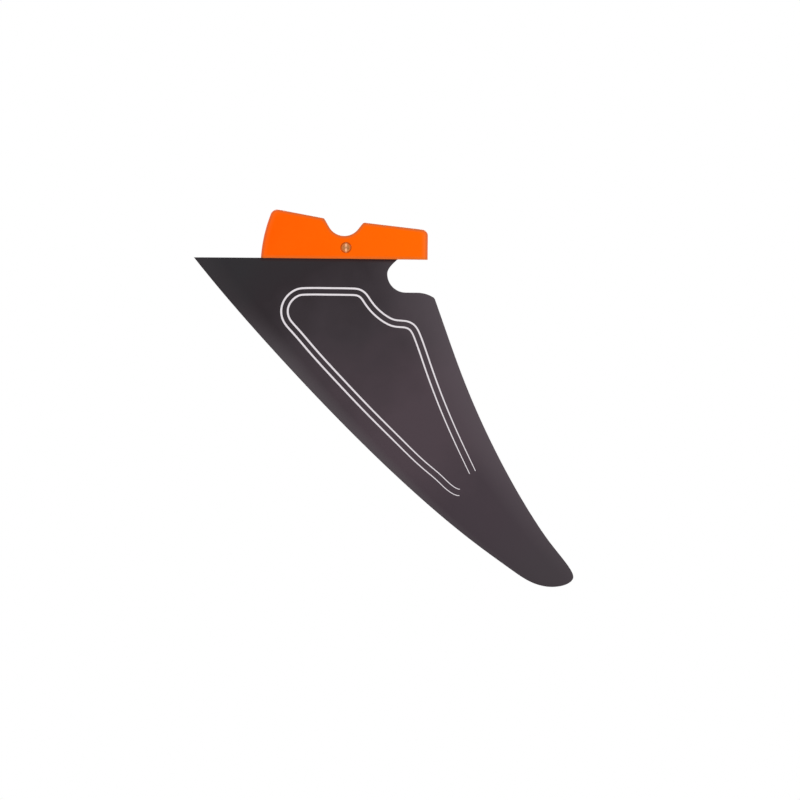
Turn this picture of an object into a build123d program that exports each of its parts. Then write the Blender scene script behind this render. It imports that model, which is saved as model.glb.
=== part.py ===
from build123d import *
import os
from math import atan2, cos, degrees, pi, radians, sin, sqrt

# A weed fin for a sailboard: a strongly raked foil blade, and an orange head cast on its root.
# The head plugs into a fin box in the board and one long screw pulls it in from the deck,
# into a barrel nut that lies across the head.
# Millimetres. The origin is where the screw's axis meets the hull. X points aft, Y to
# starboard and Z up into the board, so the head lies above z = 0 and the blade below it.

# Blade outline
BLADE_DEPTH = 320.0        # from the hull to the lowest point of the tip
ROOT_FRONT = 149.2         # front corner of the root, ahead of the screw
ROOT_REAR = 73.5           # where the trailing edge would meet the hull, behind the screw
TIP_LOW = 205.0            # lowest point of the tip, behind the screw
TIP_RUN = 21.4             # the rearmost point lies this far aft of the lowest one
TIP_LIFT = 10.0            # and this far above it
TE_LEAN = 0.37             # how far the trailing edge runs aft for each step down, at the root
# Shape of the two edges, as shares of their own run aft and down
LEADING_SHAPE = [(0.1976, 0.2525), (0.4077, 0.4956), (0.6112, 0.7084), (0.7772, 0.8600),
                 (0.8916, 0.9509), (0.9464, 0.9872)]
TRAILING_SHAPE = [(0.1190, 0.1597), (0.2842, 0.3795), (0.5239, 0.6332), (0.7495, 0.8223),
                  (0.8386, 0.8852), (0.9405, 0.9481), (0.9856, 0.9797)]

# Blade section
ROOT_THICKNESS = 9.6
TIP_THICKNESS = 3.2        # before the tip is rounded off
EDGE_THICKNESS = 0.8       # trailing edge
TIP_ROUNDING = 24          # the higher, the later the section thins towards the tip
# Poles of one skin of the section: its share of the chord, and of the thickness outwards
SECTION_POLES = [(0, 0), (0, 0.091), (0.007, 0.456), (0.227, 0.897), (1, 0)]
STATIONS = 20              # sections down the blade, closer together towards the tip
LAST_STATIONS = [0.998, 0.9995]

# Mouth behind the root, under the head's overhang
MOUTH_TOP = 50.6           # where the mouth meets the hull, behind the screw
MOUTH_FRONT = 40.8         # its foremost point
MOUTH_RADIUS = 18.2        # its round front
MOUTH_DEPTH = 32.4
SHOULDER_RADIUS = 16.0     # rounded shoulder between the floor and the trailing edge
SHOULDER_KINK = 14.0       # degrees left where the shoulder meets the trailing edge
MOUTH_EDGE_RADIUS = 0.35

# Head
HEAD_THICKNESS = 10.8
HEAD_FRONT = 83.5          # front end at the hull, ahead of the screw
HEAD_REAR = 80.2           # rear end, behind the screw
FRONT_HEIGHT = 48.6        # height of the front end before its corner is rounded
FRONT_LEAN = 11.5          # the front end's top lies this far aft of its foot
FRONT_BOW = 2.2            # the front end bulges this far ahead of a straight one
FRONT_TOP_END = 35.9       # height at which the front top edge would cross the notch's middle
REAR_TOP_START = 37.8      # height at which the rear top edge would cross it
REAR_HEIGHT = 28.8         # height of the rear end
NOTCH_RADIUS = 17.2        # round notch that clears the box's screw boss
NOTCH_HEIGHT = 39.6        # height of the notch's centre
NOTCH_LEAD = 1.9           # the notch's centre lies this far ahead of the screw
FRONT_FLANK_ANGLE = 30.0   # the notch's flanks lean out from upright by these angles
REAR_FLANK_ANGLE = 38.0
FRONT_CORNER = 7.0
NOTCH_CORNER = 3.0
REAR_CORNER = 6.0
END_RADIUS = 4.6           # the head's upright ends are rounded to suit a routed box

# Barrel nut and screw hole
NUT_DIAMETER = 10.0
NUT_HEIGHT = 11.0          # height of the nut's axis above the hull
NUT_CLEARANCE = 0.05
NUT_RECESS = 0.4           # each end of the nut lies this far inside the head's side
NUT_CHAMFER = 0.4
THREAD_CORE = 5.0          # core diameter of an M6 thread
SCREW_HOLE = 6.6
SCREW_HOLE_FLOOR = 3.0     # the blind hole stops this far above the hull
SLOT_WIDTH = 2.0
SLOT_DEPTH = 1.5

# Tang of the blade inside the head
TANG_THICKNESS = 4.0
TANG_FRONT = 70.0
TANG_REAR = 28.0
TANG_HEIGHT = 18.0
TANG_CORNER = 4.0
NUT_RELIEF = 4.5           # resin between the nut's bore and the tang
KEY_HOLE = 8.0             # holes that the head's resin flows through
KEY_HEIGHT = 9.0
KEY_PLACES = [-55.0, -30.0]

# Double pinstripe printed on each side, its places as shares of the chord and of the depth
STRIPE_PATH = [(0.4211, 0.7228), (0.3933, 0.7223), (0.3564, 0.7150), (0.3204, 0.6782),
               (0.2369, 0.4794), (0.1895, 0.2512), (0.1884, 0.1903), (0.2096, 0.1658),
               (0.2443, 0.1412), (0.2909, 0.1177), (0.3377, 0.1008), (0.3749, 0.0922),
               (0.4054, 0.0898), (0.5181, 0.0896), (0.6306, 0.0897), (0.6576, 0.0912),
               (0.6799, 0.1017), (0.6877, 0.1261), (0.7292, 0.1741), (0.7590, 0.1841),
               (0.8163, 0.1888), (0.8470, 0.1984), (0.8570, 0.2350), (0.8415, 0.3238),
               (0.7924, 0.5073), (0.7353, 0.6480)]
STRIPE_SPACING = 6.4       # from the outer stripe's middle to the inner one's
STRIPE_WIDTH = 2.1         # along the root
STRIPE_END_WIDTH = 1.3     # at the lower ends
STRIPE_THICKNESS = 0.15
STRIPE_CLEARANCE = 0.04    # keeps the straight underside of a ribbon off the curved skin
STRIPE_TURN = 7.0          # degrees that a stripe turns in one step, at most
STRIPE_RUN = 30.0          # length of one step, at most
PATH_SAMPLES = 400         # places along a stripe where a step may end
SEARCH_LIMIT = 1e-7        # the search for a place on the skin stops here


def side_point(ahead_or_aft, height):
    """A point in the fin's middle plane."""
    return Vector(ahead_or_aft, 0, height)


def edge_points(start, run_aft, run_down, shape):
    """Points along an edge of the blade, from its place on the hull."""
    return [side_point(start + run_aft * aft, -run_down * down) for aft, down in shape]


def blade_outline():
    """The whole blade in its middle plane, with no mouth cut in it yet."""
    tip_aft, tip_depth = TIP_LOW + TIP_RUN, BLADE_DEPTH - TIP_LIFT
    root_front, root_rear = side_point(-ROOT_FRONT, 0), side_point(ROOT_REAR, 0)
    tip_low, tip_rear = side_point(TIP_LOW, -BLADE_DEPTH), side_point(tip_aft, -tip_depth)
    leading = Spline(
        root_front,
        *edge_points(-ROOT_FRONT, ROOT_FRONT + TIP_LOW, BLADE_DEPTH, LEADING_SHAPE),
        tip_low,
        tangents=[(0.8, 0, -1), (1, 0, 0)],
    )
    trailing = Spline(
        root_rear,
        *edge_points(ROOT_REAR, tip_aft - ROOT_REAR, tip_depth, TRAILING_SHAPE),
        tip_rear,
        tangents=[(TE_LEAN, 0, -1), (0, 0, -1)],
    )
    tip_plane = Plane(side_point(TIP_LOW, -tip_depth), x_dir=(1, 0, 0), z_dir=(0, -1, 0))
    tip = tip_plane * EllipticalCenterArc((0, 0), TIP_RUN, TIP_LIFT, start_angle=270, arc_size=90)
    return Face(Wire([leading, tip, trailing, Line(root_rear, root_front)]))


def chord_at(outline, depth):
    """Places of the leading and the trailing edge at a depth below the hull."""
    level = Line(side_point(-2 * ROOT_FRONT, -depth), side_point(2 * TIP_LOW, -depth))
    ends = sorted(corner.X for corner in (outline & level).vertices())
    return ends[0], ends[-1]


def half_section(outline, depth, side):
    """One skin of the blade's level section at a depth, from the leading edge aft."""
    front, rear = chord_at(outline, depth)
    depth_share = depth / BLADE_DEPTH
    tip_rounding = sqrt(1 - depth_share**TIP_ROUNDING)
    thickness = ROOT_THICKNESS + (TIP_THICKNESS - ROOT_THICKNESS) * depth_share
    poles = []
    for aft, out in SECTION_POLES:
        half = (thickness * out + EDGE_THICKNESS / 2 * aft) * tip_rounding
        poles.append(Vector(front + (rear - front) * aft, side * half, -depth))
    return Bezier(*poles)


def foil_section(outline, depth):
    """A level section of the blade, as wide as the outline is at this depth."""
    port, starboard = half_section(outline, depth, -1), half_section(outline, depth, 1)
    return Face(Wire([port, starboard, Line(starboard @ 1, port @ 1)]))


def half_thickness(outline, ahead_or_aft, depth):
    """Half the blade's thickness at a place in side view, found by halving the search."""
    skin = half_section(outline, depth, 1)
    low, high = 0.0, 1.0
    while high - low > SEARCH_LIMIT:
        middle = (low + high) / 2
        if (skin @ middle).X < ahead_or_aft:
            low = middle
        else:
            high = middle
    return (skin @ low).Y


def foil(outline):
    """The bare foil, lofted through level sections that close up towards the tip."""
    shares = [sin(pi / 2 * station / STATIONS) for station in range(STATIONS)] + LAST_STATIONS
    return loft([foil_section(outline, share * BLADE_DEPTH) for share in shares])


def through(profile, thickness):
    """A side profile made as thick as stated, half to each side of the middle plane."""
    return extrude(Plane.XZ * profile, amount=thickness / 2, both=True)


def rounded(profile, corner, radius):
    """The profile with the corner nearest to this point rounded."""
    return fillet(profile.vertices().sort_by_distance(Vector(*corner))[0], radius)


def mouth(outline):
    """What is cut away behind the root: a round front, a level floor and a round shoulder."""
    front_start = (MOUTH_FRONT, MOUTH_RADIUS - MOUTH_DEPTH)
    lip = Spline((MOUTH_TOP, 0), front_start, tangents=[(-1, -1), (0, -1)])
    front = JernArc(front_start, (0, -1), MOUTH_RADIUS, 90)
    corner, lower = [chord_at(outline, MOUTH_DEPTH + drop)[1] for drop in (0, SHOULDER_RADIUS)]
    slope = atan2(SHOULDER_RADIUS, lower - corner)
    reach = SHOULDER_RADIUS * (cos(radians(SHOULDER_KINK)) - cos(slope)) / sin(slope)
    turn = SHOULDER_KINK - degrees(slope)
    shoulder = JernArc((corner - reach, -MOUTH_DEPTH), (1, 0), SHOULDER_RADIUS, turn)
    way_out = shoulder @ 1 + shoulder % 1 * SHOULDER_RADIUS
    rest = Polyline(
        shoulder @ 1, way_out, (way_out.X, ROOT_THICKNESS), (MOUTH_TOP, ROOT_THICKNESS),
        (MOUTH_TOP, 0),
    )
    profile = make_face(lip + front + Line(front @ 1, shoulder @ 0) + shoulder + rest)
    return through(profile, 2 * ROOT_THICKNESS)


def disc(place, height, diameter):
    """A round side profile."""
    return Pos(place, height) * Circle(diameter / 2)


def tang():
    """The flat tongue of the blade inside the head, open round the nut and at its key holes."""
    length = TANG_FRONT + TANG_REAR
    plate = Pos(TANG_REAR - length / 2, TANG_HEIGHT / 2) * Rectangle(length, TANG_HEIGHT)
    for end in (-TANG_FRONT, TANG_REAR):
        plate = rounded(plate, (end, TANG_HEIGHT), TANG_CORNER)
    plate -= disc(0, NUT_HEIGHT, NUT_DIAMETER + 2 * NUT_RELIEF)
    for place in KEY_PLACES:
        plate -= disc(place, KEY_HEIGHT, KEY_HOLE)
    return through(plate, TANG_THICKNESS)


def blade(outline):
    """The moulded blade: the foil with its mouth cut out and eased, and the tang on its root."""
    cut = mouth(outline)
    body = foil(outline) - cut
    middles = [(edge, edge @ 0.5) for edge in body.edges()]
    rim = [
        edge for edge, middle in middles
        if middle.Z < -MOUTH_EDGE_RADIUS and abs(middle.Y) > EDGE_THICKNESS / 4
        and cut.distance_to(middle) < SEARCH_LIMIT
    ]
    return fillet(rim, MOUTH_EDGE_RADIUS) + tang()


def notch_flank(way, lean):
    """One leaning flank of the boss notch in side view, from its round floor upwards."""
    slope = radians(lean)
    foot = Vector(-NOTCH_LEAD, NOTCH_HEIGHT) + NOTCH_RADIUS * Vector(way * cos(slope), -sin(slope))
    return Line(foot, foot + 2 * NOTCH_RADIUS * Vector(way * sin(slope), cos(slope)))


def notched(block):
    """The block with the boss notch cut across it and the notch's two brinks rounded."""
    flanks = [notch_flank(-1, FRONT_FLANK_ANGLE), notch_flank(1, REAR_FLANK_ANGLE)]
    front, rear = flanks
    floor = ThreePointArc(front @ 0, (-NOTCH_LEAD, NOTCH_HEIGHT - NOTCH_RADIUS), rear @ 0)
    profile = make_face(floor + front + rear + Line(front @ 1, rear @ 1))
    block -= through(profile, 2 * HEAD_THICKNESS)
    brinks = []
    for flank in flanks:
        side = Plane.XZ * flank
        across = [e for e in block.edges().filter_by(Axis.Y) if e.distance_to(side) < SEARCH_LIMIT]
        brinks.append(max(across, key=lambda edge: edge.center().Z))
    return fillet(brinks, NOTCH_CORNER)


def head_profiles():
    """The head's side profile with no notch yet, with its two end corners sharp and rounded."""
    front_top = (FRONT_LEAN - HEAD_FRONT, FRONT_HEIGHT)
    rear_top = (HEAD_REAR, REAR_HEIGHT)
    front_end = SagittaArc((-HEAD_FRONT, 0), front_top, FRONT_BOW)
    rest = Polyline(
        front_top, (-NOTCH_LEAD, FRONT_TOP_END), (-NOTCH_LEAD, REAR_TOP_START), rear_top,
        (HEAD_REAR, 0), (-HEAD_FRONT, 0),
    )
    sharp = make_face(front_end + rest)
    soft = rounded(rounded(sharp, front_top, FRONT_CORNER), rear_top, REAR_CORNER)
    return sharp, soft


def rod(diameter, axis_height, length):
    """A round bar across the fin, on the nut's axis line."""
    return through(disc(0, axis_height, diameter), length)


def head(blade_solid):
    """The cast head: rounded upright ends, a boss notch, and holes for the nut and screw."""
    sharp, soft = head_profiles()
    block = through(sharp, HEAD_THICKNESS)
    uprights = [
        edge for edge in block.edges()
        if abs(edge.center().Y) > HEAD_THICKNESS / 3
        and (edge.center().X > HEAD_REAR - 1 or edge.center().X < -HEAD_FRONT + FRONT_LEAN)
    ]
    block = fillet(uprights, END_RADIUS)
    block = notched(block & through(soft, 2 * HEAD_THICKNESS))
    block -= rod(NUT_DIAMETER, NUT_HEIGHT, 2 * HEAD_THICKNESS)
    hole = Pos(0, 0, SCREW_HOLE_FLOOR) * Cylinder(
        SCREW_HOLE / 2, FRONT_HEIGHT, align=(Align.CENTER, Align.CENTER, Align.MIN)
    )
    return block - hole - blade_solid


def barrel_nut():
    """The cross nut: a turned bar with a thread across it and a slot in each end."""
    length = HEAD_THICKNESS - 2 * NUT_RECESS
    nut = rod(NUT_DIAMETER - 2 * NUT_CLEARANCE, NUT_HEIGHT, length)
    nut = chamfer(nut.edges().filter_by(GeomType.CIRCLE), NUT_CHAMFER)
    nut -= Pos(0, 0, NUT_HEIGHT) * Cylinder(THREAD_CORE / 2, 2 * NUT_DIAMETER)
    for end in (-1, 1):
        slot_middle = end * (length / 2 - SLOT_DEPTH / 2)
        nut -= Pos(0, slot_middle, NUT_HEIGHT) * Box(SLOT_WIDTH, SLOT_DEPTH, NUT_DIAMETER)
    return nut


def stripe_path(outline):
    """The middle line of the outer stripe, in side view."""
    points = []
    for share, depth_share in STRIPE_PATH:
        front, rear = chord_at(outline, depth_share * BLADE_DEPTH)
        points.append((front + share * (rear - front), -depth_share * BLADE_DEPTH))
    return Spline(*points)


def stripe_stations(path):
    """Shares of the path where a stripe's steps end: long on its runs, short on its bends."""
    stations = [0.0]
    for sample in range(1, PATH_SAMPLES):
        share = sample / PATH_SAMPLES
        turn = (path % share).get_angle(path % stations[-1])
        if turn > STRIPE_TURN or (share - stations[-1]) * path.length > STRIPE_RUN:
            stations.append(share)
    return stations + [1.0]


def stripe(outline, path, inset):
    """A thin ribbon on the starboard skin, inset from the path and narrower at its ends."""
    sections = []
    for share in stripe_stations(path):
        run = path % share
        across = Vector(run.Y, -run.X)
        width = STRIPE_END_WIDTH + (STRIPE_WIDTH - STRIPE_END_WIDTH) * sqrt(sin(pi * share))
        corners = []
        for way in (-1, 1):
            place = path @ share + across * (inset + way * width / 2)
            height = half_thickness(outline, place.X, -place.Y) + STRIPE_CLEARANCE
            corners.append(Vector(place.X, height, place.Y))
        lift = Vector(0, STRIPE_THICKNESS, 0)
        corners += [corners[1] + lift, corners[0] + lift]
        sections.append(Face(Wire.make_polygon(corners)))
    return loft(sections, ruled=True)


def pinstripes(outline):
    """The outer and the inner stripe of the starboard side."""
    path = stripe_path(outline)
    return Compound(children=[stripe(outline, path, inset) for inset in (0, STRIPE_SPACING)])


def write_parts():
    outline = blade_outline()
    blade_solid = blade(outline)
    starboard_stripes = pinstripes(outline)
    parts = {
        "blade": blade_solid,
        "head": head(blade_solid),
        "barrel_nut": barrel_nut(),
        "pinstripes_port": mirror(starboard_stripes, Plane.XZ),
        "pinstripes_starboard": starboard_stripes,
    }
    os.makedirs("parts", exist_ok=True)
    for name, solid in parts.items():
        export_step(solid, f"parts/{name}.step")
        print(name, round(solid.volume / 1000, 2), "cubic centimetres")


if __name__ == "__main__":
    write_parts()
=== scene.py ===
# %% [markdown]
# # A weed fin for a sailboard
#
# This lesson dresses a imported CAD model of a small, strongly raked fin. The real object is a
# black laminate blade, an orange cast head that plugs into the board, a turned cross nut that
# takes the deck screw, and a white double pinstripe printed on each side.
#
# Everything is drawn in the CAD model's own place, in metres, so nothing is fitted by eye.

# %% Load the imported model
from math import cos, pi, radians, sin

import bmesh
import bpy
import numpy as np
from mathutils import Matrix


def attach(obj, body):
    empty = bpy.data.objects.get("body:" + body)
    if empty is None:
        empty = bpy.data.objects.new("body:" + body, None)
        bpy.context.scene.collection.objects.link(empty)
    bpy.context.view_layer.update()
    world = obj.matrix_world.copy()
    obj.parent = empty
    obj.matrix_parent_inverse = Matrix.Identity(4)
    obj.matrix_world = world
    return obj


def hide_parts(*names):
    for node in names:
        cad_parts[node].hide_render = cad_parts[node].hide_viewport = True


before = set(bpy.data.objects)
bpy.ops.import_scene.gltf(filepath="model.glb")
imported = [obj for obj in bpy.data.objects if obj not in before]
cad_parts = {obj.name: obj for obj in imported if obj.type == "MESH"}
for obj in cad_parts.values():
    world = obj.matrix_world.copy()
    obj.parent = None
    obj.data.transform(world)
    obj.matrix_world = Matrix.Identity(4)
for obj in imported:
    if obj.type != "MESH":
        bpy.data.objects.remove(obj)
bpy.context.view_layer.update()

# %% [markdown]
# ## Smooth lines through a few points
#
# The fin's edges are long, slow curves. They could be drawn with Blender's own curve objects,
# but the blade's surface has to be worked out from them, so it is handier to have each edge as
# an array of points. A cubic line through a few places does that: between two places it is a
# cubic, and the slopes at the places are chosen so that the bend runs on without a jump.

# %% A cubic line through places
MM = 0.001  # the outlines below are in millimetres, and the meshes in metres


def smooth_line(places, start_way=None, end_way=None, count=3000):
    """Points (x, z) along a cubic line through the places.

    With h the straight distance between neighbours, the slope m at each inner place solves
    h_next m_before + 2 (h_before + h_next) m + h_before m_after
    = 3 (h_next / h_before step_before + h_before / h_next step_next).
    An end either points the stated way or is left unbent.
    """
    places = np.array(places, float)
    steps = np.diff(places, axis=0)
    gaps = np.linalg.norm(steps, axis=1)
    last = len(places) - 1
    system, wanted = np.zeros((last + 1, last + 1)), np.zeros((last + 1, 2))
    inner = np.arange(1, last)
    before, after = gaps[:-1], gaps[1:]
    system[inner, inner - 1] = after
    system[inner, inner] = 2 * (before + after)
    system[inner, inner + 1] = before
    wanted[inner] = 3 * (
        (after / before)[:, None] * steps[:-1] + (before / after)[:, None] * steps[1:]
    )
    for end, beside_end, way in ((0, 1, start_way), (last, last - 1, end_way)):
        if way is None:
            end_gap = min(end, last - 1)
            system[end, end], system[end, beside_end] = 2, 1
            wanted[end] = 3 * steps[end_gap] / gaps[end_gap]
        else:
            system[end, end] = 1
            wanted[end] = np.array(way) / np.linalg.norm(way)
    slopes = np.linalg.solve(system, wanted)
    along = np.concatenate([[0], np.cumsum(gaps)])
    at = np.linspace(0, along[-1], count)
    span = np.clip(np.searchsorted(along, at, side="right") - 1, 0, last - 1)
    gap = gaps[span][:, None]
    share = ((at - along[span]) / gaps[span])[:, None]
    rest = 1 - share
    return (
        places[span] * (1 + 2 * share) * rest**2
        + slopes[span] * gap * share * rest**2
        + places[span + 1] * (1 + 2 * rest) * share**2
        - slopes[span + 1] * gap * rest * share**2
    )


def arc(centre, radius, start, end, count):
    """Points (x, z) on a round arc: the centre plus the radius times the cosine and the sine.
    Its angles are in degrees from the x direction."""
    angles = np.radians(np.linspace(start, end, count))
    return np.array(centre) + radius * np.stack([np.cos(angles), np.sin(angles)], 1)


# %% [markdown]
# ## The blade in side view
#
# A weed fin leans back so far that weed slides down its leading edge and off the tip. The blade
# here reaches 320 mm below the hull, and its tip is a small quarter ellipse. Its edges could be
# traced as they are. Here each runs through a few places that are shares of its run aft and of
# its run down, so that a longer or a wider blade needs only one other number.

# %% The two long edges
DEPTH = 319.8  # the lowest facet of the CAD tip, just short of 320
ROOT_FRONT, ROOT_REAR = -149.2, 73.5
TIP_LOW = (205.0, -DEPTH)
TIP_RUN, TIP_LIFT = 21.4, 10.0
TIP_REAR = (TIP_LOW[0] + TIP_RUN, TIP_LOW[1] + TIP_LIFT)
LEADING_SHAPE = np.array([
    (0.1976, 0.2525), (0.4077, 0.4956), (0.6112, 0.7084), (0.7772, 0.8600),
    (0.8916, 0.9509), (0.9464, 0.9872),
])
TRAILING_SHAPE = np.array([
    (0.1190, 0.1597), (0.2842, 0.3795), (0.5239, 0.6332), (0.7495, 0.8223),
    (0.8386, 0.8852), (0.9405, 0.9481), (0.9856, 0.9797),
])


def edge_places(start_x, end, shape):
    """Places of an edge from its shares of the run aft and of the run down."""
    inner = np.stack([start_x + (end[0] - start_x) * shape[:, 0], end[1] * shape[:, 1]], 1)
    return [(start_x, 0.0), *inner, end]


def tip_ellipse(angle):
    """Points (x, z) of the tip: its run times the cosine aft, its lift times the sine down."""
    return np.stack(
        [TIP_LOW[0] + TIP_RUN * np.cos(angle), TIP_REAR[1] - TIP_LIFT * np.sin(angle)], 1
    )


leading = smooth_line(
    edge_places(ROOT_FRONT, TIP_LOW, LEADING_SHAPE), start_way=(0.8, -1), end_way=(1, 0)
)
trailing = smooth_line(
    edge_places(ROOT_REAR, TIP_REAR, TRAILING_SHAPE), start_way=(0.37, -1), end_way=(0, -1)
)
rear_side = np.vstack([trailing, tip_ellipse(np.linspace(0, pi / 2, 200))[1:]])


def leading_x(depth):
    """Where the leading edge lies at a depth below the hull."""
    return np.interp(depth, -leading[:, 1], leading[:, 0])


def trailing_x(depth):
    """Where the trailing edge, with no mouth cut in it, lies at a depth."""
    return np.interp(depth, -rear_side[:, 1], rear_side[:, 0])


LOOKED_AT = [0, 160, 300]
print("chord at the hull, halfway and near the tip, in mm:",
      np.round(trailing_x(LOOKED_AT) - leading_x(LOOKED_AT), 1))

# %% [markdown]
# ## The foil section
#
# Cut level, the blade is a foil: a round nose, its fattest place well ahead of the middle, and
# a fine tail. It could be modelled by hand and sculpted smooth. A formula is better here, since
# the thickness is then known at every place of the side view, also for the print on the skin.

# %% Half the thickness at any place
ROOT_THICKNESS, TIP_THICKNESS, EDGE_THICKNESS = 9.6, 3.2, 0.8
TIP_ROUNDING = 24
POLES = np.array([(0, 0), (0, 0.091), (0.007, 0.456), (0.227, 0.897), (1, 0)])
BINOMIALS = np.array([1, 4, 6, 4, 1])


def skin_curve(share):
    """The skin's share of the chord, and of the thickness outwards, by the quartic Bezier
    formula: each pole times its binomial number, share to its index and the rest to the rest."""
    share = np.asarray(share, float)[:, None]
    index = np.arange(len(POLES))
    return (BINOMIALS * share**index * (1 - share) ** index[::-1]) @ POLES


SKIN_TABLE = skin_curve(np.linspace(0, 1, 4001))


def half_thickness(x, depth):
    """Half the thickness in mm: the section's height for this share of the chord, thinning
    evenly with depth, plus the tail's own width, all closing up by sqrt(1 - share^24) at the
    tip."""
    front, rear = leading_x(depth), trailing_x(depth)
    chord_share = np.clip((x - front) / np.maximum(rear - front, 1e-6), 0, 1)
    depth_share = np.clip(depth / DEPTH, 0, 1)
    out = np.interp(chord_share, SKIN_TABLE[:, 0], SKIN_TABLE[:, 1])
    thickness = ROOT_THICKNESS + (TIP_THICKNESS - ROOT_THICKNESS) * depth_share
    closing = np.sqrt(1 - depth_share**TIP_ROUNDING)
    return (thickness * out + EDGE_THICKNESS / 2 * chord_share) * closing


root_x = np.linspace(ROOT_FRONT, ROOT_REAR, 500)
root_thickest = 2 * half_thickness(root_x, 0.0).max()
print("thickest place at the root:", round(float(root_thickest), 2), "mm")

# %% [markdown]
# ## From numbers to a mesh
#
# Each new piece is a stack of closed rings. Blender can bridge such rings by hand, but a mesh
# that is worked out needs its faces worked out too: the helper below joins neighbouring rings
# with four-sided faces. Another makes the object, and looks which way its faces point.

# %% Rings into a closed mesh
SHARP_ANGLE = radians(35)  # an edge that turns more than this is shaded as an edge


def ring_faces(rings, points):
    """Four-sided faces between each ring and the next, all the way round."""
    ring, point = np.meshgrid(np.arange(rings - 1), np.arange(points), indexing="ij")
    onward = (point + 1) % points
    return np.stack(
        [ring * points + point, ring * points + onward,
         (ring + 1) * points + onward, (ring + 1) * points + point], -1
    ).reshape(-1, 4)


def make_piece(name, points, faces):
    """A smooth-shaded object of this name from points in millimetres.

    Its volume is the sum over the triangles of a . (b x c) / 6. Where that comes out negative
    the faces point inwards, and all of them are turned round.
    """
    mesh = bpy.data.meshes.new(name)
    mesh.from_pydata((points * MM).tolist(), [], [list(map(int, face)) for face in faces])
    mesh.validate()
    skin = bmesh.new()
    skin.from_mesh(mesh)
    volume = skin.calc_volume(signed=True)
    if volume < 0:
        bmesh.ops.reverse_faces(skin, faces=skin.faces)
        skin.to_mesh(mesh)
    skin.free()
    mesh.polygons.foreach_set("use_smooth", np.ones(len(mesh.polygons), bool))
    mesh.set_sharp_from_angle(angle=SHARP_ANGLE)
    piece = bpy.data.objects.new(name, mesh)
    bpy.context.scene.collection.objects.link(piece)
    print(f"{name}: {len(mesh.polygons)} faces, {abs(volume) * 1e6:.2f} cubic centimetres")
    return piece


def keep_values(piece, name, values):
    """Stores one number for each vertex, for a material to read."""
    layer = piece.data.attributes.new(name, "FLOAT", "POINT")
    layer.data.foreach_set("value", np.asarray(values, np.float32).ravel())


# %% [markdown]
# ## The mouth
#
# Under the head's overhang the trailing edge is cut back in a round mouth. A Boolean could cut
# it out of a finished blade, but it would leave ragged faces on the thin tail. So the mouth is
# part of the rear edge from the start, drawn as a run: a short lip, a quarter circle, a level
# floor, and a long shoulder that ends in a tight corner on the trailing edge.

# %% Lip and quarter circle
MOUTH_TOP, MOUTH_FRONT, MOUTH_RADIUS, MOUTH_DEPTH = 50.6, 40.8, 18.2, 32.4

mouth_middle = np.array([MOUTH_FRONT + MOUTH_RADIUS, MOUTH_RADIUS - MOUTH_DEPTH])
lip = smooth_line(
    [(MOUTH_TOP, 0), (MOUTH_FRONT, mouth_middle[1])],
    start_way=(-1, -1), end_way=(0, -1), count=22,
)
mouth_front = arc(mouth_middle, MOUTH_RADIUS, 180, 270, count=34)
print("middle of the mouth's round:", np.round(mouth_middle, 1))

# %% [markdown]
# Shoulder and corner are arcs that share their line of centres where they meet. Their place
# could be worked out with paper and compasses. Here both are moved aft together, in small tries,
# until the corner's circle just touches the trailing edge.

# %% Shoulder and corner
SHOULDER_RADIUS, SHOULDER_TURN, CORNER_RADIUS = 31.0, 30.0, 5.0
SEARCH_FROM = 60.0  # x from which the corner's place is looked for

shoulder_way = np.array([sin(radians(SHOULDER_TURN)), cos(radians(SHOULDER_TURN))])
between_middles = (SHOULDER_RADIUS - CORNER_RADIUS) * shoulder_way
corner_height = -MOUTH_DEPTH - SHOULDER_RADIUS + between_middles[1]
tries = np.linspace(SEARCH_FROM, float(trailing_x(-corner_height)), 600)
nearest = np.hypot(
    trailing[None, :, 0] - tries[:, None], trailing[None, :, 1] - corner_height
).min(1)
corner_middle = np.array([np.interp(-CORNER_RADIUS, -nearest, tries), corner_height])
shoulder_middle = corner_middle - between_middles

touch = np.argmin(np.hypot(*(trailing - corner_middle).T))
touch_way = trailing[touch] - corner_middle
touch_angle = np.degrees(np.arctan2(touch_way[1], touch_way[0]))
floor_x = np.linspace(mouth_middle[0], shoulder_middle[0], 14)
mouth_floor = np.stack([floor_x, np.full_like(floor_x, -MOUTH_DEPTH)], 1)
shoulder = arc(shoulder_middle, SHOULDER_RADIUS, 90, 90 - SHOULDER_TURN, count=20)
corner = arc(corner_middle, CORNER_RADIUS, 90 - SHOULDER_TURN, touch_angle, count=10)
mouth_parts = [lip, mouth_front[1:], mouth_floor[1:], shoulder[1:], corner[1:]]
touch_depth = -corner[-1, 1]
print("corner touches the trailing edge", round(float(touch_depth), 1), "mm down")

# %% [markdown]
# Below the mouth the rear edge follows the trailing edge and then the tip's quarter ellipse.
# The last row stops a little short of the lowest place, so that it still has a width to close.

# %% The rear edge as one line
LOWER_BUNCHING = 1.6  # above 1, rows lie closer together towards the tip
TIP_TURN = 89.7       # degrees of the quarter ellipse

lower_share = 1 - (1 - np.linspace(0, 1, 130)) ** LOWER_BUNCHING
lower_depth = touch_depth + (-TIP_REAR[1] - touch_depth) * lower_share
lower = np.stack([trailing_x(lower_depth), -lower_depth], 1)
tip_angle = np.radians(np.linspace(0, TIP_TURN, 34))
rear_line = np.vstack([*mouth_parts, lower[1:], tip_ellipse(tip_angle)[1:]])
print(len(rear_line), "places along the rear edge")

# %% [markdown]
# ## The blade's surface
#
# Each side of the blade is one smooth skin from its nose to its rear edge. It could be lofted by
# hand through a few sections, but the mouth would need many more of them. Instead, every place
# on the rear edge is paired with one on the leading edge, and the row between them is a straight
# line in side view. Level rows would all run into the mouth's floor at once, so the rows there
# fan out a little, and become level again lower down.

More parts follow.
